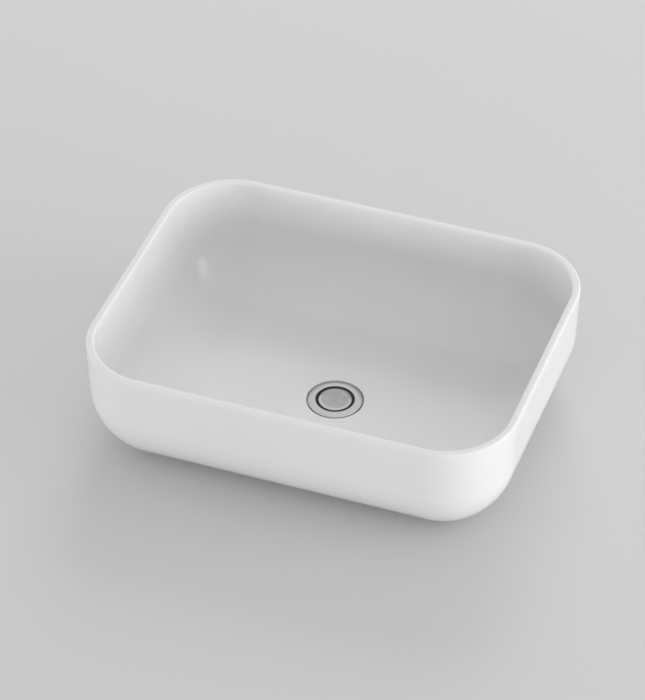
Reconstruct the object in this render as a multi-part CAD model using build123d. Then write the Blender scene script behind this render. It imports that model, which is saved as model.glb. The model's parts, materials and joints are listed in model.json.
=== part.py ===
"""Rectangular countertop basin with a push-button waste.

Millimetres, +Z up. The origin is the centre of the basin's foot, on the waste's axis:
z = 0 is the face that rests on the worktop, X runs along the basin and +Y points to its back.
The model shows the waste shut, with the latch let go and ready to rise.
"""
import os
from math import cos, radians, sin, tan

from build123d import *

os.makedirs("parts", exist_ok=True)

# Basin, outside
basin_length = 500.0
basin_depth = 390.0
basin_height = 143.5
wall_draft = 2.0  # degrees that the walls lean in towards the foot
foot_ring_width = 14.0
underside_recess = 3.0

# Basin, inside
rim_width = 9.4
rim_edge_radius = 3.0
bowl_curve_radius = 72.6
floor_level = 14.0

# Outlet in the basin's floor
dish_radius = 62.0
dish_depth = 1.5
recess_radius = 33.0
recess_depth = 4.3
recess_edge = 1.2
hole_radius = 23.0
countersink_width = 4.0
countersink_depth = 4.0
outlet_boss_radius = 40.0
outlet_boss_lift = 0.6  # the boss stays this far above the worktop
outlet_boss_edge = 1.0

# Waste body
flange_radius = 31.5
flange_thickness = 1.8
flange_roll_width = 4.0
flange_roll_drop = 1.3
mouth_radius = 22.5
mouth_depth = 5.2
mouth_edge = 0.5
neck_radius = 24.3
neck_depth = 6.0
neck_cone_depth = 3.0
seat_cone_depth = 3.0
tail_radius = 20.955  # crest of the G 1 1/4 pipe thread
tail_wall = 2.955
tail_reach = 64.0  # how far the tail hangs below the worktop's top
tail_end_chamfer = 1.0
relief_depth = 0.7
relief_width = 2.0
cross_arm_count = 3
cross_arm_width = 3.2
cross_arm_height = 5.0
cross_boss_wall = 3.0
cross_boss_height = 7.0

# Seals and nut on the waste body
gasket_thickness = 3.0
gasket_margin = 0.5
cone_washer_radius = 30.0
cone_washer_thickness = 5.0
cone_washer_spigot = 3.0
cone_washer_taper = 0.8
cone_washer_clearance = 0.3
slip_washer_thickness = 1.5
slip_washer_clearance = 0.3
nut_flange_thickness = 2.0
nut_flats = 54.0
nut_height = 10.0
nut_chamfer = 1.5

# Plug
cap_radius = 19.05
cap_thickness = 2.6
cap_bevel_width = 1.5
cap_bevel_drop = 0.7
cap_boss_radius = 6.0
cap_boss_length = 2.8
cap_skin = 1.6
seal_clearance = 0.08
seal_lip_drop = 0.9
seal_foot_width = 4.5
seal_foot_thickness = 0.8
seal_edge = 0.4
retainer_thickness = 1.8
retainer_radius = 17.4
retainer_chamfer = 0.6
retainer_slot_width = 2.4
retainer_slot_depth = 0.9
retainer_slot_length = 4.0

# Latch: stem, guide, rotor, barrel and spring
plug_lift = 9.0
plug_press = 1.5
stem_radius = 4.0
stud_radius = 3.0
spigot_radius = 2.2
spigot_length = 8.0
running_clearance = 0.05
face_clearance = 0.1
lug_radius = 5.9
lug_width = 3.2
lug_height = 2.0
keyway_clearance = 0.1
lug_tip_clearance = 0.2
notch_clearance = 0.4
guide_gap = 0.6
guide_head_thickness = 2.5
keyway_roof = 0.3
oring_wire = 1.2
oring_groove_play = 0.1
rotor_wall = 0.82
rotor_bore_clearance = 0.3
rotor_land = 2.5
rotor_base = 1.6
latch_pocket_depth = 0.8
ramp_width = 3.2
barrel_wall = 1.5
collar_flats = 21.0
collar_height = 5.0
barrel_washer_thickness = 1.0
barrel_washer_width = 2.6
spring_wire = 0.8
spring_radius = 3.1  # to the middle of the wire
spring_turns = 5
spring_length = 19.0
spring_chamber_clearance = 0.5
spring_chamber_wall = 1.8
barrel_floor = 2.0
barrel_drain_radius = 1.5

# Curves that follow in the basin, where the foot of each corner is part of a ball
lean = tan(radians(wall_draft))
curve_reach = tan(radians((90 - wall_draft) / 2))  # of a curve of radius 1 at the foot of a wall
bowl_corner_radius = bowl_curve_radius * curve_reach + (basin_height - floor_level) * lean
corner_radius = bowl_corner_radius + rim_width
under_curve_radius = (corner_radius - basin_height * lean) / curve_reach

# Heights that follow, from the ceramic down through the waste
outlet_land = floor_level - dish_depth
recess_floor = outlet_land - recess_depth
flange_under = recess_floor + gasket_thickness
flange_top = flange_under + flange_thickness
mouth_floor = flange_top - mouth_depth
throat_top = mouth_floor - seat_cone_depth
neck_under = flange_top - neck_depth
tail_bore_radius = tail_radius - tail_wall
cone_washer_under = outlet_boss_lift - cone_washer_thickness
slip_washer_under = cone_washer_under - slip_washer_thickness
nut_under = slip_washer_under - nut_height

# Heights that follow, from the cap down through the latch
cap_under = flange_top - cap_thickness
seal_under = cap_under - seal_foot_thickness
retainer_under = seal_under - retainer_thickness
stem_shoulder = cap_under - cap_boss_length
socket_top = flange_top - cap_skin
guide_top = stem_shoulder - plug_press - guide_gap
barrel_top = guide_top - guide_head_thickness
collar_under = barrel_top - collar_height
cross_boss_top = collar_under - barrel_washer_thickness
keyway_top = barrel_top - keyway_roof
lug_top = keyway_top - face_clearance - plug_lift
lug_under = lug_top - lug_height
land_under = lug_top + face_clearance
rotor_top = land_under + rotor_land
tooth_tip = lug_under - face_clearance
tooth_root = tooth_tip - plug_press - face_clearance
rotor_under = tooth_root - rotor_base
guide_under = rotor_top + face_clearance
barrel_shoulder = rotor_under - face_clearance
stem_foot = barrel_shoulder - plug_press
spring_seat = stem_foot - spring_length
barrel_end = spring_seat - barrel_floor

# Radii that follow in the latch
lug_way_radius = lug_radius + lug_tip_clearance
rotor_radius = lug_way_radius + rotor_wall
barrel_bore_radius = rotor_radius + running_clearance
barrel_radius = barrel_bore_radius + barrel_wall
spring_chamber_radius = spring_radius + spring_wire / 2 + spring_chamber_clearance
seal_radius = mouth_radius - seal_clearance


def turned(*corners):
    """A solid turned about Z from a closed outline of (radius, height) corners."""
    outline = Polyline(*[(r, 0, z) for r, z in corners], close=True)
    return revolve(make_face(outline), Axis.Z)


def ring(inner, outer, low, high):
    """A plain ring about Z."""
    return turned((inner, low), (outer, low), (outer, high), (inner, high))


def circles(solid, radius, height):
    """The solid's round edges of this radius at this height."""
    found = solid.edges().filter_by(GeomType.CIRCLE)
    return [e for e in found if abs(e.radius - radius) < 0.01 and abs(e.center().Z - height) < 0.01]


def block(x, y, low, high):
    """A box centred on Z."""
    return Pos(0, 0, (low + high) / 2) * Box(x, y, high - low)


def hexagon(flats, low, high):
    """A hexagonal prism about Z."""
    corner = flats / 2 / cos(radians(30))
    return Pos(0, 0, low) * extrude(RegularPolygon(corner, 6), high - low)


def tub(length, depth, corner, curve, low):
    """A block from the rim down to a flat foot, whose walls lean in and roll under to that foot.

    Its section is turned about each corner's axis, where the roll becomes part of a ball,
    and drawn straight between the corners.
    """
    draft = radians(wall_draft)
    foot = (0, 0, low)
    roll_end = (curve * cos(draft), 0, low + curve * (1 - sin(draft)))
    roll = TangentArc(foot, roll_end, tangent=(1, 0, 0))
    sides = Polyline(roll_end, (corner, 0, basin_height), (0, 0, basin_height), foot)
    section = make_face([roll, sides])
    x = length / 2 - corner
    y = depth / 2 - corner
    axis = Pos(x, y, 0)
    quarter = axis * revolve(section, Axis.Z, 90)
    quarter = quarter + extrude(axis * section, y, dir=(0, -1, 0))
    quarter = quarter + extrude(axis * Rot(0, 0, 90) * section, x, dir=(-1, 0, 0))
    quarter = quarter + Pos(x / 2, y / 2, (low + basin_height) / 2) * Box(x, y, basin_height - low)
    half = quarter + mirror(quarter, Plane.YZ)
    return half + mirror(half, Plane.XZ)


def basin_bowl():
    """The ceramic: leaning walls that roll under, a foot ring, and the outlet's recess."""
    outer = tub(basin_length, basin_depth, corner_radius, under_curve_radius, 0)
    inner_length = basin_length - 2 * rim_width
    inner_depth = basin_depth - 2 * rim_width
    inner = tub(inner_length, inner_depth, bowl_corner_radius, bowl_curve_radius, floor_level)
    bowl = outer - inner
    rim = [e for e in bowl.edges() if abs(e.bounding_box().min.Z - basin_height) < 0.01]
    bowl = fillet(rim, rim_edge_radius)
    return bowl - underside() - outlet()


def underside():
    """What is hollowed out inside the foot ring, around the outlet's boss."""
    inset = 2 * (corner_radius + foot_ring_width)
    outline = RectangleRounded(basin_length - inset, basin_depth - inset, foot_ring_width)
    hollow = extrude(outline, underside_recess) - ring(0, outlet_boss_radius, 0, underside_recess)
    return hollow + ring(0, outlet_boss_radius, 0, outlet_boss_lift)


def outlet():
    """What is cut from the floor: a shallow dish, the flange's recess and the hole."""
    above = floor_level + dish_depth
    return turned(
        (0, above),
        (dish_radius, above),
        (dish_radius, floor_level),
        (recess_radius + recess_edge, outlet_land),
        (recess_radius, outlet_land - recess_edge),
        (recess_radius, recess_floor),
        (hole_radius + countersink_width, recess_floor),
        (hole_radius, recess_floor - countersink_depth),
        (hole_radius, outlet_boss_lift + outlet_boss_edge),
        (hole_radius + outlet_boss_edge, outlet_boss_lift),
        (hole_radius + outlet_boss_edge, 0),
        (0, 0),
    )


def waste_body():
    """Flange, neck and threaded tail in one, with the cross that holds the cartridge."""
    body = turned(
        (flange_radius - flange_roll_width, flange_top),
        (flange_radius, flange_top - flange_roll_drop),
        (flange_radius, flange_under),
        (neck_radius, flange_under),
        (neck_radius, neck_under),
        (tail_radius, neck_under - neck_cone_depth),
        (tail_radius, nut_under),
        (tail_radius - relief_depth, nut_under - relief_depth),
        (tail_radius - relief_depth, nut_under - relief_width + relief_depth),
        (tail_radius, nut_under - relief_width),
        (tail_radius, tail_end_chamfer - tail_reach),
        (tail_radius - tail_end_chamfer, -tail_reach),
        (tail_bore_radius, -tail_reach),
        (tail_bore_radius, throat_top),
        (mouth_radius, mouth_floor),
        (mouth_radius, flange_top - mouth_edge),
        (mouth_radius + mouth_edge, flange_top),
    )
    boss_radius = barrel_radius + cross_boss_wall
    cross = ring(barrel_radius, boss_radius, cross_boss_top - cross_boss_height, cross_boss_top)
    arm_start = (barrel_radius + boss_radius) / 2
    arm_end = tail_radius - tail_wall / 2
    arm = Box(arm_end - arm_start, cross_arm_width, cross_arm_height)
    arm = Pos((arm_start + arm_end) / 2, 0, cross_boss_top - cross_arm_height / 2) * arm
    for i in range(cross_arm_count):
        cross = cross + Rot(0, 0, 360 / cross_arm_count * i + 90) * arm
    return body + cross


def flange_gasket():
    """Soft ring between the flange and the floor of its recess."""
    return ring(neck_radius + gasket_margin, flange_radius - gasket_margin, recess_floor, flange_under)


def cone_washer():
    """Rubber washer under the ceramic, with a tapered spigot up into the hole."""
    spigot = hole_radius - cone_washer_clearance
    return turned(
        (tail_radius, cone_washer_under),
        (cone_washer_radius, cone_washer_under),
        (cone_washer_radius, outlet_boss_lift),
        (spigot, outlet_boss_lift),
        (spigot - cone_washer_taper, outlet_boss_lift + cone_washer_spigot),
        (tail_radius, outlet_boss_lift + cone_washer_spigot),
    )


def slip_washer():
    """Thin hard washer between the rubber and the nut."""
    inner = tail_radius + slip_washer_clearance
    return ring(inner, cone_washer_radius, slip_washer_under, cone_washer_under)


def backnut():
    """Flanged hexagonal nut on the tail, its corners turned off at the lower end."""
    flange_under_side = slip_washer_under - nut_flange_thickness
    corner = nut_flats / 2 / cos(radians(30))
    dome = turned(
        (0, nut_under),
        (corner - nut_chamfer, nut_under),
        (corner, nut_under + nut_chamfer),
        (corner, flange_under_side),
        (0, flange_under_side),
    )
    nut = hexagon(nut_flats, nut_under, flange_under_side) & dome
    nut = nut + ring(0, cone_washer_radius, flange_under_side, slip_washer_under)
    return nut - ring(0, tail_radius, nut_under, slip_washer_under)


def plug_cap():
    """Flat disc with a bevelled edge and a threaded boss beneath."""
    return turned(
        (0, flange_top),
        (cap_radius - cap_bevel_width, flange_top),
        (cap_radius, flange_top - cap_bevel_drop),
        (cap_radius, cap_under),
        (cap_boss_radius, cap_under),
        (cap_boss_radius, stem_shoulder),
        (stud_radius, stem_shoulder),
        (stud_radius, socket_top),
        (0, socket_top),
    )


def plug_seal():
    """Rubber ring with a lip beside the cap and a foot clamped beneath it."""
    lip_top = flange_top - seal_lip_drop
    foot_inner = cap_radius - seal_foot_width
    return turned(
        (foot_inner, seal_under),
        (seal_radius - seal_edge, seal_under),
        (seal_radius, seal_under + seal_edge),
        (seal_radius, lip_top - seal_edge),
        (seal_radius - seal_edge, lip_top),
        (cap_radius, lip_top),
        (cap_radius, cap_under),
        (foot_inner, cap_under),
    )


def seal_retainer():
    """Plastic ring screwed on the cap's boss under the seal, with two slots for a key."""
    plate = ring(cap_boss_radius, retainer_radius, retainer_under, seal_under)
    plate = chamfer(circles(plate, retainer_radius, retainer_under), retainer_chamfer)
    reach = (cap_boss_radius + retainer_radius) / 2
    for side in (-1, 1):
        slot = Box(retainer_slot_length, retainer_slot_width, 2 * retainer_slot_depth)
        plate = plate - Pos(side * reach, 0, retainer_under) * slot
    return plate


def latch_stem():
    """Plunger: a stud for the cap, the shaft with two lugs, and a spigot in the spring."""
    stud_top = socket_top - face_clearance
    stem = turned(
        (0, stud_top),
        (stud_radius, stud_top),
        (stud_radius, stem_shoulder),
        (stem_radius, stem_shoulder),
        (stem_radius, stem_foot),
        (spigot_radius, stem_foot),
        (spigot_radius, stem_foot - spigot_length),
        (0, stem_foot - spigot_length),
    )
    lugs = block(2 * lug_radius, lug_width, lug_under, lug_top)
    return stem + (lugs & ring(0, lug_radius, lug_under, lug_top))


def latch_guide():
    """Bush in the barrel's mouth: a head, a running bore, two keyways and a ring groove."""
    bore = stem_radius + running_clearance
    guide = ring(bore, barrel_bore_radius, guide_under, barrel_top)
    guide = guide + ring(bore, barrel_radius, barrel_top, guide_top)
    keyway = block(2 * lug_way_radius, lug_width + 2 * keyway_clearance, guide_under, keyway_top)
    keyway = keyway & ring(0, lug_way_radius, guide_under, keyway_top)
    groove_middle = (barrel_top + guide_top) / 2
    groove_height = oring_wire + 2 * oring_groove_play
    groove = ring(0, bore + oring_wire, groove_middle - groove_height / 2, groove_middle + groove_height / 2)
    return guide - keyway - groove


def stem_ring():
    """O-ring in the guide's groove, round the stem, with its round section in eight flats."""
    middle = (barrel_top + guide_top) / 2
    section = RegularPolygon(oring_wire / 2, 8, rotation=22.5)
    radius = stem_radius + running_clearance + oring_wire / 2
    return revolve(Pos(radius, 0, middle) * Rot(90, 0, 0) * section, Axis.Z)


def ratchet_pocket(angle, flat, low, high, slope_at):
    """A pocket for a lug, square on one side and with a ramp on the other."""
    half = flat / 2
    if slope_at == "top":
        corners = [(-half, low), (half, low), (half + ramp_width, high), (-half, high)]
    else:
        corners = [(-half, low), (half + ramp_width, low), (half, high), (-half, high)]
    outline = Polyline(*[(0, y, z) for y, z in corners], close=True)
    prism = extrude(make_face(outline), amount=lug_way_radius, dir=(1, 0, 0))
    return Rot(0, 0, angle) * (prism & ring(0, lug_way_radius, low, high))


def latch_rotor():
    """Ratchet sleeve: lands with two open notches and two latch pockets, over four ramped teeth."""
    inner = stem_radius + rotor_bore_clearance
    flat = lug_width + 2 * notch_clearance
    rotor = ring(lug_way_radius, rotor_radius, rotor_under, rotor_top)
    rotor = rotor + ring(inner, lug_way_radius, land_under, rotor_top)
    rotor = rotor + ring(inner, lug_way_radius, rotor_under, tooth_tip)
    notch = block(2 * lug_way_radius, flat, land_under, rotor_top)
    rotor = rotor - (notch & ring(0, lug_way_radius, land_under, rotor_top))
    for angle in (90, 270):
        rotor = rotor - ratchet_pocket(angle, flat, land_under, land_under + latch_pocket_depth, "foot")
    for angle in (0, 90, 180, 270):
        rotor = rotor - ratchet_pocket(angle, flat, tooth_root, tooth_tip, "top")
    return rotor


def latch_barrel():
    """Cartridge housing: hexagonal collar, threaded barrel and a spring chamber below."""
    chamber_outer = spring_chamber_radius + spring_chamber_wall
    shoulder_under = barrel_shoulder - barrel_wall
    barrel = hexagon(collar_flats, collar_under, barrel_top)
    barrel = barrel + turned(
        (0, collar_under),
        (barrel_radius, collar_under),
        (barrel_radius, shoulder_under),
        (chamber_outer, shoulder_under - (barrel_radius - chamber_outer)),
        (chamber_outer, barrel_end),
        (0, barrel_end),
    )
    barrel = barrel - ring(0, barrel_bore_radius, barrel_shoulder, barrel_top)
    barrel = barrel - ring(0, spring_chamber_radius, spring_seat, barrel_shoulder)
    return barrel - ring(0, barrel_drain_radius, barrel_end, spring_seat)


def barrel_washer():
    """Fibre washer between the collar and the cross."""
    return ring(barrel_radius, barrel_radius + barrel_washer_width, cross_boss_top, collar_under)


def latch_spring():
    """Coil spring between the barrel's floor and the stem's foot, its wire in six flats."""
    height = spring_length - spring_wire
    path = Helix(height / spring_turns, height, spring_radius)
    section = Plane(origin=path @ 0, z_dir=path % 0) * RegularPolygon(spring_wire / 2, 6)
    return Pos(0, 0, spring_seat + spring_wire / 2) * sweep(section, path=path, is_frenet=True)


pieces = [
    basin_bowl,
    waste_body,
    flange_gasket,
    cone_washer,
    slip_washer,
    backnut,
    plug_cap,
    plug_seal,
    seal_retainer,
    latch_stem,
    latch_guide,
    stem_ring,
    latch_rotor,
    latch_barrel,
    barrel_washer,
    latch_spring,
]
for piece in pieces:
    export_step(piece(), f"parts/{piece.__name__}.step")
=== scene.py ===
# %% [markdown]
# A white countertop basin with its push-button waste, dressed for a photograph.
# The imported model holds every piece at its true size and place, so it is loaded first as a fixed
# frame. Blender then gives each piece its finish, and remakes the pieces whose surface has to flow
# or carry a thread: the glazed bowl, the chromed waste, its cap, seal, nut, washers and spring.

# %% Load the frame
import json
from math import atan, cos, pi, radians, sin, sqrt, tan

import bmesh
import bpy
from mathutils import Matrix, Vector

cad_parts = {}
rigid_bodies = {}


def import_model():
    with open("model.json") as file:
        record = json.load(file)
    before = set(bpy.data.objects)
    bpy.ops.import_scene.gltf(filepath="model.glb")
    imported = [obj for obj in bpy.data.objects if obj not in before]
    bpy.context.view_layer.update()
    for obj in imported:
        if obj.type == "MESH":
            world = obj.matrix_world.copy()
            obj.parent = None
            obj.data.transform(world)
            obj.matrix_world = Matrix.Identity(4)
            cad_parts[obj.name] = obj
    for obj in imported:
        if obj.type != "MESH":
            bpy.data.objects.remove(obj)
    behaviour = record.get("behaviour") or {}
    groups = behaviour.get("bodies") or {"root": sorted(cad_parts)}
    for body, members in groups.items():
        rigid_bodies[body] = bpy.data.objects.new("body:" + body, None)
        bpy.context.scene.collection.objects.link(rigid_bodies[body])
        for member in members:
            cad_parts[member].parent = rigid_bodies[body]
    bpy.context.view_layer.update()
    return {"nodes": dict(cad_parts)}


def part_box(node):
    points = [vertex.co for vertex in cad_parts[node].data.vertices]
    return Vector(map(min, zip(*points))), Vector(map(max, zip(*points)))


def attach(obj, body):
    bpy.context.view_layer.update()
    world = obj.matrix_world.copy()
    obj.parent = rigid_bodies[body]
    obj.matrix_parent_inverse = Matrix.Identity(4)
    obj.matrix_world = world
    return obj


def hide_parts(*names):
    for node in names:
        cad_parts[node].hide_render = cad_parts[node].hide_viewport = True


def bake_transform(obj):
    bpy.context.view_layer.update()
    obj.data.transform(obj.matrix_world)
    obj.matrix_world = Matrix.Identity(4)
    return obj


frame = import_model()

mm = 0.001
nodes = frame["nodes"]
print("pieces in the frame:", ", ".join(sorted(nodes)))

# %% [markdown]
# The sizes below are the basin's own. Its inside and outside are both blocks with round
# corners whose walls lean in a little, and whose foot rolls under in a large curve. At each corner
# that curve is part of a ball, so inside and outside share one upright axis per corner.
# Working out the axis once keeps the two shells true to each other.

# %% Sizes of the basin
basin_length, basin_depth, basin_height = 500 * mm, 390 * mm, 143.5 * mm
rim_width, rim_edge_radius = 9.4 * mm, 3 * mm
floor_level = 14 * mm
bowl_curve = 72.6 * mm
draft = radians(2)
curve_reach = tan((pi / 2 - draft) / 2)
bowl_corner = bowl_curve * curve_reach + (basin_height - floor_level) * tan(draft)
outer_corner = bowl_corner + rim_width
under_curve = (outer_corner - basin_height * tan(draft)) / curve_reach
corner_x, corner_y = basin_length / 2 - outer_corner, basin_depth / 2 - outer_corner
print(f"corner axis at {corner_x / mm:.1f}, {corner_y / mm:.1f} mm, under curve {under_curve / mm:.1f} mm")

# %% [markdown]
# The photograph was taken with a long lens from in front, a little to the right, looking down at
# 40 degrees. A long lens keeps the basin's far side almost as large as its near side. The focal
# length is given in pixels of the photograph's frame, because that is how it was measured, and is
# turned into millimetres for a sensor as tall as the picture.

# %% Camera
photo_height = 700  # pixels
focal_pixels = 3702
view_azimuth, view_elevation = radians(19.82), radians(40.0)
view_distance = 4.323
aim = Vector((-48.3 * mm, 91.3 * mm, 0))

toward_camera = Vector((
    sin(view_azimuth) * cos(view_elevation),
    -cos(view_azimuth) * cos(view_elevation),
    sin(view_elevation),
))
camera_data = bpy.data.cameras.new("camera")
camera_data.sensor_width = 36
camera_data.lens = focal_pixels / photo_height * camera_data.sensor_width
camera_data.clip_end = 40
camera = bpy.data.objects.new("camera", camera_data)
camera.location = aim + toward_camera * view_distance
camera.rotation_mode = "QUATERNION"
camera.rotation_quaternion = (-toward_camera).to_track_quat("-Z", "Y")
bpy.context.scene.collection.objects.link(camera)
bpy.context.scene.camera = camera
print(f"lens {camera_data.lens:.0f} mm at {view_distance:.2f} m")

# %% [markdown]
# Every finish is a small network of shader nodes. Effects that several finishes share are node
# groups, built once with named sockets: a slow variation for colour and roughness, a fine grain
# for bump, and the turning marks that a lathe leaves. Sizes go in as metres, so that each effect
# has its real scale, and the coordinates are the object's own, so that nothing slides.

# %% Node helpers
def add_node(tree, kind, **values):
    """A new node of this kind, with its own properties set."""
    node = tree.nodes.new(kind)
    for name, value in values.items():
        setattr(node, name, value)
    return node


def math_node(tree, operation, first, second=0.0):
    """A Math node fed by sockets or plain numbers; gives its result socket."""
    node = add_node(tree, "ShaderNodeMath", operation=operation)
    for socket, value in zip(node.inputs, (first, second)):
        if isinstance(value, (int, float)):
            socket.default_value = value
        else:
            tree.links.new(value, socket)
    return node.outputs[0]


def new_group(name, inputs, output):
    """An empty node group with float inputs and one float output."""
    tree = bpy.data.node_groups.new(name, "ShaderNodeTree")
    for label, value in inputs.items():
        socket = tree.interface.new_socket(label, in_out="INPUT", socket_type="NodeSocketFloat")
        socket.default_value = value
    tree.interface.new_socket(output, in_out="OUTPUT", socket_type="NodeSocketFloat")
    start = add_node(tree, "NodeGroupInput")
    end = add_node(tree, "NodeGroupOutput")
    return tree, start.outputs, end.inputs[0]


def noise(tree, size, detail=2.0):
    """Noise on the object's own coordinates, with features of about this size."""
    place = add_node(tree, "ShaderNodeTexCoord")
    texture = add_node(tree, "ShaderNodeTexNoise")
    texture.inputs["Detail"].default_value = detail
    tree.links.new(place.outputs["Object"], texture.inputs["Vector"])
    tree.links.new(math_node(tree, "DIVIDE", 1.0, size), texture.inputs["Scale"])
    return texture.outputs[0]


# %% Slow variation
variation, ins, out = new_group("slow_variation", {"Size": 0.05, "Low": 0.1, "High": 0.2}, "Value")
spread = add_node(variation, "ShaderNodeMapRange")
spread.inputs["From Min"].default_value = 0.35
spread.inputs["From Max"].default_value = 0.65
variation.links.new(noise(variation, ins["Size"]), spread.inputs["Value"])
variation.links.new(ins["Low"], spread.inputs["To Min"])
variation.links.new(ins["High"], spread.inputs["To Max"])
variation.links.new(spread.outputs[0], out)
print("group:", variation.name)

# %% Fine grain
grain, ins, out = new_group("fine_grain", {"Size": 0.001, "Depth": 0.00002}, "Height")
grain.links.new(math_node(grain, "MULTIPLY", noise(grain, ins["Size"], 3.0), ins["Depth"]), out)
print("group:", grain.name)

# %% Turning marks
marks, ins, out = new_group("turning_marks", {"Spacing": 0.0004, "Depth": 0.000004}, "Height")
place = add_node(marks, "ShaderNodeTexCoord")
parts = add_node(marks, "ShaderNodeSeparateXYZ")
marks.links.new(place.outputs["Object"], parts.inputs[0])
squares = [math_node(marks, "MULTIPLY", parts.outputs[i], parts.outputs[i]) for i in (0, 1)]
radius = math_node(marks, "SQRT", math_node(marks, "ADD", *squares))
along = math_node(marks, "ADD", radius, parts.outputs[2])
turns = math_node(marks, "DIVIDE", along, ins["Spacing"])
wave = math_node(marks, "SINE", math_node(marks, "MULTIPLY", turns, 2 * pi))
uneven = math_node(marks, "MULTIPLY", wave, noise(marks, 0.002))
marks.links.new(math_node(marks, "MULTIPLY", uneven, ins["Depth"]), out)
print("group:", marks.name)

# %% [markdown]
# A finish starts from one Principled shader. Plain numbers such as metallic or coat are set on its
# own sockets. What changes over the surface comes from the groups: two close colours mixed by a
# slow variation, a roughness that drifts, and one bump whose height adds up grain and marks.

# %% Finish helper
def use_group(tree, group, **values):
    """Places a group in a material with its own values; gives its output socket."""
    node = add_node(tree, "ShaderNodeGroup", node_tree=group)
    for name, value in values.items():
        node.inputs[name.capitalize()].default_value = value
    return node.outputs[0]


def finish(name, colours, roughness, patch=0.04, bumps=(), **constants):
    """A material: two colours and two roughnesses that drift over patches, and bumps in metres."""
    material = bpy.data.materials.new(name)
    material.use_nodes = True
    tree = material.node_tree
    shader = tree.nodes["Principled BSDF"]
    mix = add_node(tree, "ShaderNodeMix", data_type="RGBA")
    tree.links.new(use_group(tree, variation, size=patch, low=0.0, high=1.0), mix.inputs["Factor"])
    for socket, colour in zip((mix.inputs[6], mix.inputs[7]), colours):
        socket.default_value = (*colour, 1)
    tree.links.new(mix.outputs[2], shader.inputs["Base Color"])
    drift = use_group(tree, variation, size=patch / 2, low=roughness[0], high=roughness[1])
    tree.links.new(drift, shader.inputs["Roughness"])
    for label, value in constants.items():
        shader.inputs[label.replace("_", " ")].default_value = value
    heights = [use_group(tree, group, **values) for group, values in bumps]
    if heights:
        total = heights[0]
        for height in heights[1:]:
            total = math_node(tree, "ADD", total, height)
        bump = add_node(tree, "ShaderNodeBump")
        bump.inputs["Distance"].default_value = 1.0
        tree.links.new(total, bump.inputs["Height"])
        tree.links.new(bump.outputs[0], shader.inputs["Normal"])
    return material


# %% [markdown]
# The glaze is a glass-like skin over white clay. It is never quite flat: it drew together as it
# melted, which shows as a slow ripple in reflections, with a much finer orange peel on top.
# Where the foot stands on the worktop the glaze is left off, and the bare fired clay is matt,
# a little creamy and gritty.

# %% Ceramic finishes
glaze = finish(
    "white_glaze",
    [(0.745, 0.745, 0.743), (0.76, 0.76, 0.758)],
    (0.10, 0.16),
    patch=0.12,
    bumps=[
        (grain, {"size": 0.045, "depth": 0.00016}),
        (grain, {"size": 0.0025, "depth": 0.000004}),
    ],
    IOR=1.52,
)
bare_clay = finish(
    "bare_clay",
    [(0.70, 0.67, 0.61), (0.78, 0.75, 0.70)],
    (0.75, 0.9),
    patch=0.03,
    bumps=[(grain, {"size": 0.0007, "depth": 0.00008})],
)
print("finishes:", glaze.name, bare_clay.name)

# %% [markdown]
# The waste is brass, turned and then plated. Polished chrome shows the room as a mirror does, so
# its roughness is low, and the only detail is the faint ring pattern left by the lathe. The cap's
# face is satin: the same metal with a finer, deeper pattern and far more roughness, which is why
# it looks dull grey in the photograph beside its bright bevel.

# %% Metal finishes
chrome = finish(
    "polished_chrome",
    [(0.555, 0.56, 0.565), (0.59, 0.595, 0.60)],
    (0.08, 0.14),
    bumps=[(marks, {"spacing": 0.0006, "depth": 0.000002})],
    Metallic=1.0,
)
satin_chrome = finish(
    "satin_chrome",
    [(0.46, 0.465, 0.47), (0.52, 0.525, 0.53)],
    (0.34, 0.44),
    patch=0.01,
    bumps=[(marks, {"spacing": 0.00035, "depth": 0.000012})],
    Metallic=1.0,
)
nut_brass = finish(
    "turned_brass",
    [(0.60, 0.42, 0.17), (0.68, 0.50, 0.22)],
    (0.22, 0.36),
    patch=0.012,
    bumps=[(marks, {"spacing": 0.0005, "depth": 0.00001})],
    Metallic=1.0,
)
latch_brass = finish(
    "fine_brass",
    [(0.64, 0.47, 0.20), (0.70, 0.53, 0.25)],
    (0.16, 0.28),
    patch=0.006,
    bumps=[(marks, {"spacing": 0.0003, "depth": 0.000005})],
    Metallic=1.0,
)
spring_steel = finish(
    "spring_wire",
    [(0.50, 0.50, 0.51), (0.58, 0.58, 0.58)],
    (0.2, 0.3),
    patch=0.004,
    bumps=[(grain, {"size": 0.0004, "depth": 0.000004})],
    Metallic=1.0,
)
print("metals:", chrome.name, satin_chrome.name, nut_brass.name, latch_brass.name, spring_steel.name)

# %% [markdown]
# Rubber and plastic are told apart by how their skin was made. Moulded rubber has a dry bloom and
# a fine pebble; foam is rougher and softer in outline; a moulded plastic is smooth with a faint
# flow pattern; vulcanised fibre is a dull red board that was punched to shape.

# %% Soft and plastic finishes
seal_rubber = finish(
    "black_rubber",
    [(0.004, 0.004, 0.004), (0.008, 0.008, 0.008)],
    (0.55, 0.7),
    patch=0.006,
    bumps=[(grain, {"size": 0.0005, "depth": 0.00001})],
)
washer_rubber = finish(
    "grey_rubber",
    [(0.022, 0.022, 0.024), (0.036, 0.035, 0.034)],
    (0.55, 0.72),
    patch=0.012,
    bumps=[(grain, {"size": 0.0009, "depth": 0.00002})],
)
gasket_foam = finish(
    "soft_foam",
    [(0.09, 0.09, 0.09), (0.14, 0.14, 0.135)],
    (0.8, 0.95),
    patch=0.008,
    bumps=[(grain, {"size": 0.0006, "depth": 0.00012})],
)
washer_plastic = finish(
    "white_plastic",
    [(0.66, 0.66, 0.61), (0.72, 0.72, 0.68)],
    (0.32, 0.46),
    patch=0.02,
    bumps=[(grain, {"size": 0.0015, "depth": 0.00001})],
)
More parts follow.
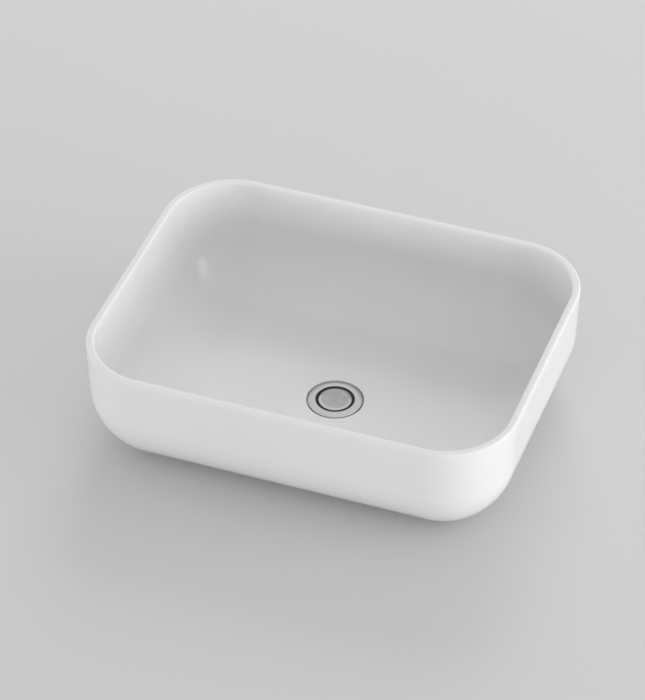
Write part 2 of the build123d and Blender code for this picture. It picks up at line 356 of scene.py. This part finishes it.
retainer_plastic = finish(
    "grey_plastic",
    [(0.045, 0.048, 0.052), (0.06, 0.063, 0.066)],
    (0.38, 0.5),
    patch=0.01,
    bumps=[(grain, {"size": 0.0008, "depth": 0.000012})],
)
rotor_plastic = finish(
    "natural_acetal",
    [(0.72, 0.70, 0.62), (0.80, 0.78, 0.71)],
    (0.25, 0.38),
    patch=0.004,
    bumps=[(grain, {"size": 0.001, "depth": 0.000006})],
    Subsurface_Weight=0.15,
    Subsurface_Scale=0.001,
)
washer_fibre = finish(
    "red_fibre",
    [(0.26, 0.045, 0.025), (0.36, 0.075, 0.04)],
    (0.6, 0.8),
    patch=0.003,
    bumps=[(grain, {"size": 0.0004, "depth": 0.00003})],
)
print("soft finishes:", seal_rubber.name, washer_rubber.name, gasket_foam.name, washer_fibre.name)

# %% [markdown]
# New pieces are drawn as a section: a chain of vertices in the upright plane, where x is the
# distance from an axis and z the height. A straight stretch is a vertex extruded to its end, and
# a round stretch is a vertex spun about the arc's centre. Spinning the whole section about the
# upright axis then makes the piece, as a potter's wheel or a lathe would.

# %% Section helpers
def start_at(bm, r, z, centre=(0, 0)):
    """The first vertex of a section beside the axis at this centre."""
    return bm.verts.new((centre[0] + r, centre[1], z))


def line_to(bm, vertex, r, z, steps=1, centre=(0, 0)):
    """Extrudes the section's last vertex to a new place, in equal steps."""
    move = (Vector((centre[0] + r, centre[1], z)) - vertex.co) / steps
    for _ in range(steps):
        made = bmesh.ops.extrude_vert_indiv(bm, verts=[vertex])
        vertex = made["verts"][0]
        bmesh.ops.translate(bm, verts=[vertex], vec=move)
    return vertex


def arc_about(bm, vertex, r, z, degrees, steps, centre=(0, 0)):
    """Spins the section's last vertex about a point of its plane, from x towards z if positive."""
    middle = (centre[0] + r, centre[1], z)
    made = bmesh.ops.spin(
        bm, geom=[vertex], cent=middle, axis=(0, -1, 0), angle=radians(degrees), steps=steps
    )
    return [v for v in made["geom_last"] if isinstance(v, bmesh.types.BMVert)][0]


def outline(bm, *corners):
    """A closed section through (r, z) corners in millimetres."""
    first = vertex = start_at(bm, corners[0][0] * mm, corners[0][1] * mm)
    for r, z in corners[1:]:
        vertex = line_to(bm, vertex, r * mm, z * mm)
    if corners[0][0] > 0:
        bm.edges.new((vertex, first))


def turn(bm, steps=96):
    """Spins everything in the bmesh once round the upright axis and closes it."""
    bmesh.ops.spin(
        bm,
        geom=bm.verts[:] + bm.edges[:],
        cent=(0, 0, 0),
        axis=(0, 0, 1),
        angle=2 * pi,
        steps=steps,
        use_merge=True,
    )
    bmesh.ops.remove_doubles(bm, verts=bm.verts[:], dist=1e-6)
    bmesh.ops.recalc_face_normals(bm, faces=bm.faces[:])


def is_at(vertex, r, z):
    """Whether a vertex lies on the circle of this radius and height, in millimetres."""
    reach = sqrt(vertex.co.x ** 2 + vertex.co.y ** 2)
    return abs(reach - r * mm) < 1e-5 and abs(vertex.co.z - z * mm) < 1e-5


def round_off(bm, size, segments, *places):
    """Bevels the circular edges at these (r, z) places by a size in millimetres."""
    edges = [e for e in bm.edges for place in places if all(is_at(v, *place) for v in e.verts)]
    bmesh.ops.bevel(
        bm, geom=edges, offset=size * mm, segments=segments, profile=0.5, affect="EDGES", material=-1
    )


def shaped(name, bm, body, slot, *materials, sharp=35):
    """Turns a bmesh into a smooth piece at the origin, on a body if one is named."""
    bmesh.ops.remove_doubles(bm, verts=bm.verts[:], dist=1e-6)
    mesh = bpy.data.meshes.new(name)
    bm.to_mesh(mesh)
    bm.free()
    for material in materials:
        mesh.materials.append(material)
    mesh.shade_smooth()
    mesh.set_sharp_from_angle(angle=radians(sharp))
    piece = bpy.data.objects.new(name, mesh)
    bpy.context.scene.collection.objects.link(piece)
    if body:
        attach(piece, body)
    print(f"{name}: {len(mesh.polygons)} faces")
    return piece


# %% [markdown]
# The bowl is slip-cast: liquid clay set against a plaster mould, so every surface flows and the
# wall is nearly even. A subdivided box would pinch at the corners, and a boolean would leave
# slivers that show in the glaze. So one section of the wall, from the inside floor over the rim
# to the foot, is spun a quarter turn about a corner's axis. Its open ends are then extruded along
# the straight sides to the middle of the basin, and two mirrors complete the ring.

# %% Wall section of the bowl
curve_steps, wall_steps, rim_steps, corner_steps = 32, 6, 6, 32
long_steps, short_steps = 12, 8  # along half of each straight side
corner = (corner_x, corner_y)
roll = 90 - 2  # degrees from the foot to the leaning wall


def wall_section(bm):
    """Inside floor, inside curve, wall, rounded rim, outer wall and under curve, beside a corner's axis."""
    rounding, lift, fall = rim_edge_radius, sin(draft), cos(draft)
    inner_centre = bowl_corner + rounding * tan(radians(roll / 2))
    outer_centre = outer_corner - rounding * tan(radians((180 - roll) / 2))
    rim_centre = basin_height - rounding
    vertex = start_at(bm, 0, floor_level, corner)
    vertex = arc_about(bm, vertex, 0, floor_level + bowl_curve, roll, curve_steps, corner)
    inner_top = (inner_centre - rounding * fall, rim_centre + rounding * lift)
    vertex = line_to(bm, vertex, *inner_top, wall_steps, corner)
    vertex = arc_about(bm, vertex, inner_centre, rim_centre, -roll, rim_steps, corner)
    vertex = line_to(bm, vertex, outer_centre, basin_height, 1, corner)
    vertex = arc_about(bm, vertex, outer_centre, rim_centre, roll - 180, rim_steps, corner)
    wall_foot = (under_curve * fall, under_curve * (1 - lift))
    vertex = line_to(bm, vertex, *wall_foot, wall_steps, corner)
    arc_about(bm, vertex, 0, under_curve, -roll, curve_steps, corner)


def extrude_along(bm, edges, step, count):
    """Extrudes a chain of edges several times by one step."""
    for _ in range(count):
        made = bmesh.ops.extrude_edge_only(bm, edges=edges)["geom"]
        moved = [v for v in made if isinstance(v, bmesh.types.BMVert)]
        bmesh.ops.translate(bm, verts=moved, vec=step)
        edges = [e for e in made if isinstance(e, bmesh.types.BMEdge)]


def lies(edge, axis, value):
    """Whether an edge lies in the plane where this coordinate has this value."""
    return all(abs(v.co[axis] - value) < 1e-6 for v in edge.verts)


# %% Ring of the bowl's wall
shell = bmesh.new()
wall_section(shell)
bmesh.ops.spin(
    shell,
    geom=shell.verts[:] + shell.edges[:],
    cent=(corner_x, corner_y, 0),
    axis=(0, 0, 1),
    angle=pi / 2,
    steps=corner_steps,
)
bmesh.ops.remove_doubles(shell, verts=shell.verts[:], dist=1e-6)
ends_y = [e for e in shell.edges if e.is_boundary and lies(e, 1, corner_y)]
ends_x = [e for e in shell.edges if e.is_boundary and lies(e, 0, corner_x)]
extrude_along(shell, ends_y, (0, -corner_y / short_steps, 0), short_steps)
extrude_along(shell, ends_x, (-corner_x / long_steps, 0, 0), long_steps)
bmesh.ops.remove_doubles(shell, verts=shell.verts[:], dist=1e-6)
for axis in ("X", "Y"):
    everything = shell.verts[:] + shell.edges[:] + shell.faces[:]
    bmesh.ops.mirror(shell, geom=everything, matrix=Matrix(), merge_dist=1e-6, axis=axis)
bmesh.ops.remove_doubles(shell, verts=shell.verts[:], dist=1e-6)
print("wall ring:", len(shell.faces), "faces,", sum(e.is_boundary for e in shell.edges), "open edges")

# %% [markdown]
# In the middle of the floor the ceramic falls gently to the outlet: a shallow dish, a softened
# edge, the recess that takes the flange, a countersink, the hole, and below it a boss for the
# washer. All of that is round, so it is a second section, spun a full turn. It has as many steps
# as the floor's open edge has sides, so that the two can be bridged into even four-sided faces.

# %% Outlet of the bowl
outlet_steps = 4 * (long_steps + short_steps)
dish_radius, dish_depth = 62 * mm, 1.5 * mm
dish_steps = 6  # along each of the fall's two curves
land_radius, recess_edge = 34.2 * mm, 1.2 * mm
recess_radius, recess_floor = 33 * mm, 8.2 * mm
hole_radius, countersink, hole_chamfer = 23 * mm, 4 * mm, 1 * mm
boss_radius, boss_lift = 40 * mm, 0.6 * mm
underside_recess, foot_ring = 3 * mm, 14 * mm
floor_margin, ceiling_margin = 12 * mm, 10 * mm  # flat strips before the bridges

half_run, half_fall = (dish_radius - land_radius) / 2, dish_depth / 2
fall_curve = (half_run ** 2 + half_fall ** 2) / (2 * half_fall)
fall_angle = 2 * atan(half_fall / half_run) / pi * 180
land = floor_level - dish_depth
outlet = bmesh.new()
vertex = start_at(outlet, dish_radius, floor_level)
vertex = arc_about(outlet, vertex, dish_radius, floor_level - fall_curve, fall_angle, dish_steps)
vertex = arc_about(outlet, vertex, land_radius, land + fall_curve, -fall_angle, dish_steps)
vertex = arc_about(outlet, vertex, land_radius, land - recess_edge, 90, rim_steps)
vertex = line_to(outlet, vertex, recess_radius, recess_floor)
vertex = line_to(outlet, vertex, hole_radius + countersink, recess_floor)
vertex = line_to(outlet, vertex, hole_radius, recess_floor - countersink)
vertex = line_to(outlet, vertex, hole_radius, boss_lift + hole_chamfer)
vertex = line_to(outlet, vertex, hole_radius + hole_chamfer, boss_lift)
vertex = line_to(outlet, vertex, boss_radius, boss_lift)
line_to(outlet, vertex, boss_radius, underside_recess)
turn(outlet, outlet_steps)
outlet_mesh = bpy.data.meshes.new("outlet")
outlet.to_mesh(outlet_mesh)
outlet.free()
shell.from_mesh(outlet_mesh)
bpy.data.meshes.remove(outlet_mesh)
print("with the outlet:", len(shell.faces), "faces")

# %% Join floor and foot to the outlet
def open_loop(bm, z, reach):
    """The open edges at this height that start further out, or nearer in, than the dish."""
    level = [e for e in bm.edges if e.is_boundary and lies(e, 2, z)]
    far = [e for e in level if max(v.co.xy.length for v in e.verts) > dish_radius + 1e-4]
    return far if reach == "far" else [e for e in level if e not in far]


def step_in(bm, edges, inset, rise=0.0):
    """Extrudes a loop of edges towards the middle by an inset, and up by a rise."""
    made = bmesh.ops.extrude_edge_only(bm, edges=edges)["geom"]
    moved = [v for v in made if isinstance(v, bmesh.types.BMVert)]
    wide, deep = max(v.co.x for v in moved), max(v.co.y for v in moved)
    bmesh.ops.scale(bm, verts=moved, vec=((wide - inset) / wide, (deep - inset) / deep, 1))
    bmesh.ops.translate(bm, verts=moved, vec=(0, 0, rise))
    return [e for e in made if isinstance(e, bmesh.types.BMEdge)]


floor_edge = step_in(shell, open_loop(shell, floor_level, "far"), floor_margin)
bmesh.ops.bridge_loops(shell, edges=floor_edge + open_loop(shell, floor_level, "near"))
foot_edge = step_in(shell, open_loop(shell, 0, "far"), foot_ring)
ceiling_edge = step_in(shell, foot_edge, 0, underside_recess)
ceiling_edge = step_in(shell, ceiling_edge, ceiling_margin)
bmesh.ops.bridge_loops(shell, edges=ceiling_edge + open_loop(shell, underside_recess, "near"))
bmesh.ops.recalc_face_normals(shell, faces=shell.faces[:])
if shell.calc_volume(signed=True) < 0:
    bmesh.ops.reverse_faces(shell, faces=shell.faces[:])
print("closed shell:", len(shell.faces), "faces,", sum(not e.is_manifold for e in shell.edges), "open edges")

# %% [markdown]
# Glaze is wiped from everything that would touch the kiln's shelf, or the basin would fuse to it.
# So the flat foot ring and the ceiling inside it keep the bare clay, and all else is glazed.

# %% Foot of the bowl
def is_foot(face):
    """Whether a face belongs to the foot ring or to the recess inside it."""
    low = max(v.co.z for v in face.verts) < underside_recess + 1e-5
    within = all(abs(v.co.x) < corner_x + 1e-5 and abs(v.co.y) < corner_y + 1e-5 for v in face.verts)
    return low and within


for face in shell.faces:
    face.material_index = int(is_foot(face))
bowl = shaped("glazed_bowl", shell, "basin", "glaze", glaze, bare_clay)
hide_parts("basin_bowl")

# %% [markdown]
# The waste is turned from one bar: a thin flange whose edge rolls down to the ceramic, a mouth
# with a seat for the seal, and a long tail with a pipe thread. The body is a section spun once.
# The thread is a second, small section that climbs as it is spun, eleven turns to the inch.
# Real threads are cut into the bar; here the ridge stands on a core of the root's radius, which
# looks the same and leaves both meshes simple. From here on, sections are given in millimetres.

# %% Waste body
flange_top, flange_foot, flange_radius = 13.0, 11.2, 31.5
edge_roll = ((27.5, flange_top), (30.0, 12.6), (31.1, 12.1))  # from the flat top down to the rim
flange_side = 0.4
crest, root, pitch = 20.955, 19.5, 2.309
neck_radius, neck_foot, cone_foot = 24.3, 7.0, 4.0
plain_foot, run_out, end_chamfer = 2.4, 1.0, 0.8
tail_end, tail_bore = -64.0, 18.0
mouth_radius, seat_top, seat_foot = 22.5, 7.8, 4.8
waste = bmesh.new()
outline(
    waste,
    *edge_roll,
    (flange_radius, flange_foot + flange_side),
    (flange_radius, flange_foot),
    (neck_radius, flange_foot),
    (neck_radius, neck_foot),
    (crest, cone_foot),
    (crest, plain_foot),
    (root, plain_foot - run_out),
    (root, tail_end + end_chamfer),
    (root - end_chamfer, tail_end),
    (tail_bore, tail_end),
    (tail_bore, seat_foot),
    (mouth_radius, seat_top),
    (mouth_radius, flange_top),
)
turn(waste, 128)
round_off(waste, 0.5, 4, (mouth_radius, flange_top))
round_off(waste, 0.25, 3, *edge_roll)
print("waste body:", len(waste.faces), "faces")

# %% Thread of the tail
thread_top, thread_foot = 1.6, tail_end + 0.2
thread_turns = (thread_top - thread_foot) / pitch
steps_per_turn = 48
ridge_root = root - 0.2  # sunk a little in the core
crest_start, crest_stop = 0.96, 1.35  # heights of the ridge's flat top over its foot
ridge = bmesh.new()
vertex = start_at(ridge, ridge_root * mm, thread_foot * mm)
for r, climb in ((crest, crest_start), (crest, crest_stop), (ridge_root, pitch)):
    vertex = line_to(ridge, vertex, r * mm, (thread_foot + climb) * mm)
thread_steps = round((thread_turns - 1) * steps_per_turn)
bmesh.ops.spin(
    ridge,
    geom=ridge.verts[:] + ridge.edges[:],
    cent=(0, 0, 0),
    axis=(0, 0, 1),
    angle=2 * pi * thread_steps / steps_per_turn,
    dvec=(0, 0, pitch * mm / steps_per_turn),
    steps=thread_steps,
)
print("thread:", len(ridge.faces), "faces,", f"{thread_turns:.0f} turns")

# %% [markdown]
# A thread never stops in mid air: the bar's end is chamfered, so the first turn fades out of the
# cone, and at the top it fades into the run-out. Each vertex of the ridge that would stand past
# those cones is pulled in to them.

# %% Fade the thread's ends and add it to the waste
for vertex in ridge.verts:
    reach = vertex.co.xy.length
    from_ends = min(vertex.co.z - thread_foot * mm, (thread_top + pitch) * mm - vertex.co.z)
    most = ridge_root * mm + max(0.0, from_ends)
    if reach > most:
        vertex.co.x *= most / reach
        vertex.co.y *= most / reach
bmesh.ops.recalc_face_normals(ridge, faces=ridge.faces[:])
outward = sum(face.normal.xy.dot(face.calc_center_median().xy) for face in ridge.faces)
if outward < 0:
    bmesh.ops.reverse_faces(ridge, faces=ridge.faces[:])


def add_mesh(bm, other):
    """Copies another bmesh into this one and frees it."""
    mesh = bpy.data.meshes.new("part")
    other.to_mesh(mesh)
    other.free()
    bm.from_mesh(mesh)
    bpy.data.meshes.remove(mesh)


add_mesh(waste, ridge)

# %% [markdown]
# Inside the tail three arms carry a ring into which the latch's cartridge screws. The arms are
# boxes with softened edges, and their outer ends are sunk in the tail's wall, as cast arms are.

# %% Cross in the tail
cross_top, arm_height, arm_width = -3.0, 5.0, 3.2
ring_inner, ring_outer, ring_height = 8.47, 11.47, 7.0
ring_edge, arm_edge = 0.5, 0.6
cross = bmesh.new()
outline(
    cross,
    (ring_inner, cross_top),
    (ring_outer, cross_top),
    (ring_outer, cross_top - ring_height),
    (ring_inner, cross_top - ring_height),
)
turn(cross, 64)
round_off(cross, ring_edge, 3, (ring_outer, cross_top), (ring_outer, cross_top - ring_height))
add_mesh(waste, cross)
arm_start, arm_end, arm_count = 10.0, 19.2, 3
arm_size = Vector((arm_end - arm_start, arm_width, arm_height)) * mm
arm_middle = Vector(((arm_start + arm_end) / 2, 0, cross_top - arm_height / 2)) * mm
for index in range(arm_count):
    arm = bmesh.new()
    bmesh.ops.create_cube(arm, size=1)
    bmesh.ops.scale(arm, verts=arm.verts[:], vec=arm_size)
    bmesh.ops.bevel(
        arm, geom=arm.edges[:], offset=arm_edge * mm, segments=3, profile=0.5, affect="EDGES", material=-1
    )
    bmesh.ops.translate(arm, verts=arm.verts[:], vec=arm_middle)
    place_round = Matrix.Rotation(pi / 2 + 2 * pi * index / arm_count, 3, "Z")
    bmesh.ops.rotate(arm, verts=arm.verts[:], cent=(0, 0, 0), matrix=place_round)
    add_mesh(waste, arm)
waste_piece = shaped("chromed_waste", waste, "basin", "chrome", chrome)
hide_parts("waste_body")

# %% [markdown]
# The cap is a spun disc with a threaded boss under it for the latch's stem. Its face is flat, and
# its bright bevel catches the light as a thin ring. The face is satin and the rest is polished, so
# the material changes at the bevel's inner edge.

# %% Cap of the plug
cap_radius, cap_foot = 19.05, 10.4
bevel_start, bevel_foot = 16.0, 12.3
cap_boss, cap_boss_foot = 6.0, 7.6
screw_radius, screw_end = 3.0, 11.4
cap = bmesh.new()
outline(
    cap,
    (0, flange_top),
    (bevel_start, flange_top),
    (cap_radius, bevel_foot),
    (cap_radius, cap_foot),
    (cap_boss, cap_foot),
    (cap_boss, cap_boss_foot),
    (screw_radius, cap_boss_foot),
    (screw_radius, screw_end),
    (0, screw_end),
)
turn(cap, 128)
round_off(cap, 0.3, 3, (bevel_start, flange_top), (cap_radius, bevel_foot))
for face in cap.faces:
    face_reach = max(v.co.xy.length for v in face.verts)
    top = min(v.co.z for v in face.verts) > (flange_top - 0.02) * mm
    face.material_index = int(top and face_reach < bevel_start * mm)
cap_piece = shaped("plug_cap_disc", cap, "plug", "chrome", chrome, satin_chrome)
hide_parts("plug_cap")

# %% [markdown]
# The seal is a moulded rubber ring: a lip that fills the gap beside the cap, and a foot that is
# clamped beneath it. Rubber edges are always a little round, because a mould's edge is.

# %% Seal of the plug
seal_inner, seal_outer, seal_foot, lip_top = 14.55, 22.42, 9.6, 12.1
seal = bmesh.new()
outline(
    seal,
    (seal_inner, seal_foot),
    (seal_outer, seal_foot),
    (seal_outer, lip_top),
    (cap_radius, lip_top),
    (cap_radius, cap_foot),
    (seal_inner, cap_foot),
)
turn(seal, 128)
round_off(seal, 0.4, 4, (seal_outer, seal_foot), (seal_outer, lip_top))
round_off(seal, 0.15, 2, (seal_inner, seal_foot))
seal_piece = shaped("plug_seal_ring", seal, "plug", "seal_rubber", seal_rubber)
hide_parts("plug_seal")

# %% [markdown]
# Under the worktop a rubber washer, a hard slip washer and a brass nut pull the flange down. The
# two washers are spun sections with soft edges. The nut starts as a spun ring with turned-off
# corners, and six cuts make its flats, which is how hexagonal bar becomes a nut on a lathe.

# %% Washers under the bowl
washer_radius = 30.0
rubber_top, rubber_foot = 0.6, -4.4
spigot_foot, spigot_tip, spigot_top = 22.7, 21.9, 3.6
rubber = bmesh.new()
outline(
    rubber,
    (crest, rubber_foot),
    (washer_radius, rubber_foot),
    (washer_radius, rubber_top),
    (spigot_foot, rubber_top),
    (spigot_tip, spigot_top),
    (crest, spigot_top),
)
turn(rubber)
round_off(rubber, 0.8, 4, (washer_radius, rubber_foot), (washer_radius, rubber_top))
rubber_piece = shaped("rubber_washer", rubber, "basin", "washer_rubber", washer_rubber)
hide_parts("cone_washer")
slip_bore, slip_foot = crest + 0.3, rubber_foot - 1.5
slip = bmesh.new()
outline(
    slip,
    (slip_bore, slip_foot),
    (washer_radius, slip_foot),
    (washer_radius, rubber_foot),
    (slip_bore, rubber_foot),
)
turn(slip)
round_off(slip, 0.3, 2, (washer_radius, slip_foot), (washer_radius, rubber_foot))
slip_piece = shaped("slip_washer_ring", slip, "basin", "washer_plastic", washer_plastic)
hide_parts("slip_washer")

# %% Nut under the washers
nut_height, nut_flange = 10.0, 2.0
nut_foot, flange_under = slip_foot - nut_height, slip_foot - nut_flange
outer_chamfer, bore_chamfer = 1.5, 0.9
flats = 54.0
nut_corner = flats / 2 / cos(radians(30))
nut = bmesh.new()
outline(
    nut,
    (crest + bore_chamfer, nut_foot),
    (nut_corner - outer_chamfer, nut_foot),
    (nut_corner, nut_foot + outer_chamfer),
    (nut_corner, flange_under),
    (crest, flange_under),
    (crest, nut_foot + bore_chamfer),
)
turn(nut, 120)
for index in range(6):
    away = Vector((cos(radians(30 + 60 * index)), sin(radians(30 + 60 * index)), 0))
    cut = bmesh.ops.bisect_plane(
        nut,
        geom=nut.verts[:] + nut.edges[:] + nut.faces[:],
        plane_co=away * (flats / 2 * mm),
        plane_no=away,
        clear_outer=True,
    )
    edges = [e for e in cut["geom_cut"] if isinstance(e, bmesh.types.BMEdge)]
    bmesh.ops.edgeloop_fill(nut, edges=edges)
collar = bmesh.new()
outline(
    collar,
    (crest, flange_under),
    (washer_radius, flange_under),
    (washer_radius, slip_foot),
    (crest, slip_foot),
)
turn(collar)
round_off(collar, 0.4, 3, (washer_radius, flange_under), (washer_radius, slip_foot))
add_mesh(nut, collar)
nut_piece = shaped("brass_nut", nut, "basin", "nut_brass", nut_brass, sharp=25)
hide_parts("backnut")

# %% [markdown]
# Two pieces of the latch have a round section that the frame draws with flats: the O-ring and the
# spring's wire. A circle stood up beside the axis and spun once makes the ring. The same spin with
# a small rise at each step makes a coil. The spring sits between the barrel, which is still, and
# the stem, which moves, but here it is on neither body, so it stays where it is drawn.

# %% Ring and spring of the latch
def wire_section(bm, reach, height, thickness, segments=12):
    """A round wire's end, stood upright beside the axis, with its face."""
    place = Matrix.Translation((reach * mm, 0, height * mm)) @ Matrix.Rotation(pi / 2, 4, "X")
    bmesh.ops.create_circle(bm, cap_ends=True, radius=thickness / 2 * mm, segments=segments, matrix=place)


ring_low, ring_high = (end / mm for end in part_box("stem_ring"))
ring_wire = 1.2
o_ring = bmesh.new()
wire_section(o_ring, ring_high.x - ring_wire / 2, (ring_low.z + ring_high.z) / 2, ring_wire)
bmesh.ops.delete(o_ring, geom=o_ring.faces[:], context="FACES_ONLY")
turn(o_ring, 48)
ring_piece = shaped("o_ring", o_ring, "basin", "seal_rubber", seal_rubber)
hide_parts("stem_ring")

coil_low, coil_high = (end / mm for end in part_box("latch_spring"))
coil_wire, coil_reach, coil_turns, coil_steps = 0.8, 3.1, 5, 36
rise = (coil_high.z - coil_low.z - coil_wire) / coil_turns
coil = bmesh.new()
wire_section(coil, coil_reach, coil_low.z + coil_wire / 2, coil_wire)
bmesh.ops.spin(
    coil,
    geom=coil.verts[:] + coil.edges[:] + coil.faces[:],
    cent=(0, 0, 0),
    axis=(0, 0, 1),
    angle=2 * pi * coil_turns,
    dvec=(0, 0, rise * mm / coil_steps),
    steps=coil_turns * coil_steps,
)
bmesh.ops.recalc_face_normals(coil, faces=coil.faces[:])
coil_piece = shaped("coil_spring", coil, None, "spring_steel", spring_steel)
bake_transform(coil_piece)
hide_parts("latch_spring")

# %% [markdown]
# The other pieces of the latch are already right as they are: turned bushes, a moulded ratchet and
# plain rings. They keep their meshes from the frame and only take a finish.

# %% Finishes of the pieces that stay
finishes = {
    "flange_gasket": gasket_foam,
    "seal_retainer": retainer_plastic,
    "latch_stem": latch_brass,
    "latch_guide": latch_brass,
    "latch_rotor": rotor_plastic,
    "latch_barrel": latch_brass,
    "barrel_washer": washer_fibre,
}
for name, material in finishes.items():
    for slot in nodes[name].material_slots:
        slot.material = material
print("finished in place:", ", ".join(finishes))

# %% [markdown]
# The basin stands on a plain pale surface that runs out of the picture on all sides. It is only a
# stage. It has a hole under the basin, as a worktop has, because the tail of the waste reaches
# below it: with no hole, the floor would cut through the nut and tail. It lies a hair below the
# foot, because two faces in one plane would flicker where they meet.

# %% Floor
cut_out, floor_reach, floor_drop = 45 * mm, 3.2, 0.2 * mm
ground = bmesh.new()
bmesh.ops.create_circle(ground, radius=cut_out, segments=96)
rim_edges = ground.edges[:]
made = bmesh.ops.extrude_edge_only(ground, edges=rim_edges)["geom"]
outer_verts = [v for v in made if isinstance(v, bmesh.types.BMVert)]
bmesh.ops.scale(ground, verts=outer_verts, vec=(floor_reach / cut_out, floor_reach / cut_out, 1))
bmesh.ops.translate(ground, verts=ground.verts[:], vec=(0, 0, -floor_drop))
bmesh.ops.recalc_face_normals(ground, faces=ground.faces[:])
floor_mesh = bpy.data.meshes.new("floor")
ground.to_mesh(floor_mesh)
ground.free()
floor = bpy.data.objects.new("floor", floor_mesh)
bpy.context.scene.collection.objects.link(floor)
floor_colour = (0.62, 0.62, 0.62)
floor_paint = finish("pale_floor", [floor_colour, floor_colour], (0.75, 0.85), patch=0.5)
floor_mesh.materials.append(floor_paint)
print("floor:", len(floor_mesh.polygons), "faces")

# %% [markdown]
# The light is that of a small product tent: an even dome, and soft panels behind its walls. The
# panels beside the basin stand low, so they light its outer walls and the rims of the inner ones,
# and leave the bowl's floor a little darker, which is how the photograph shows its depth. The
# strongest is on the right, so the right end is the brightest face. A high one at the back pushes
# the shadow forward. Glazes and chrome would show every panel as a bright patch, so only the one
# above the right end is seen in them. Camera and mirror-like rays meet a pale room instead of the
# dome's own level.

# %% Light
dome_level, room_level = 0.70, 0.86
panels = {
    # name: place, width, height and power of the light
    "right_wall": ((4.0, -0.3, 0.45), 3.0, 0.8, 71),
    "left_wall": ((-4.0, -1.0, 0.4), 3.0, 0.7, 42),
    "front_wall": ((0.8, -4.0, 0.35), 3.0, 0.6, 28),
    "right_roof": ((3.2, 0.6, 1.4), 2.0, 2.0, 18),
    "back_roof": ((-0.6, 3.5, 2.5), 2.0, 2.0, 52),
}
for name, (place, width, height, power) in panels.items():
    lamp_data = bpy.data.lights.new(name, "AREA")
    lamp_data.shape = "RECTANGLE"
    lamp_data.size, lamp_data.size_y = width, height
    lamp_data.energy = power
    lamp = bpy.data.objects.new(name, lamp_data)
    lamp.location = place
    lamp.visible_glossy = name == "right_roof"
    lamp.rotation_mode = "QUATERNION"
    aim_height = 0 if name.endswith("roof") else place[2]  # wall panels shine level
    look = Vector((0, 0, aim_height)) - Vector(place)
    lamp.rotation_quaternion = look.to_track_quat("-Z", "Y")
    bpy.context.scene.collection.objects.link(lamp)

world = bpy.data.worlds.new("tent")
bpy.context.scene.world = world
world.use_nodes = True
sky = world.node_tree
background = sky.nodes["Background"]
background.inputs["Color"].default_value = (1, 1, 1, 1)
rays = add_node(sky, "ShaderNodeLightPath")
seen = math_node(sky, "MAXIMUM", rays.outputs["Is Camera Ray"], rays.outputs["Is Glossy Ray"])
seen = math_node(sky, "MAXIMUM", seen, rays.outputs["Is Transmission Ray"])
level = math_node(sky, "ADD", math_node(sky, "MULTIPLY", seen, room_level - dome_level), dome_level)
sky.links.new(level, background.inputs["Strength"])
print("light: dome", dome_level, "and", len(panels), "panels")

# %% Colour management
bpy.context.scene.view_settings.view_transform = "Standard"
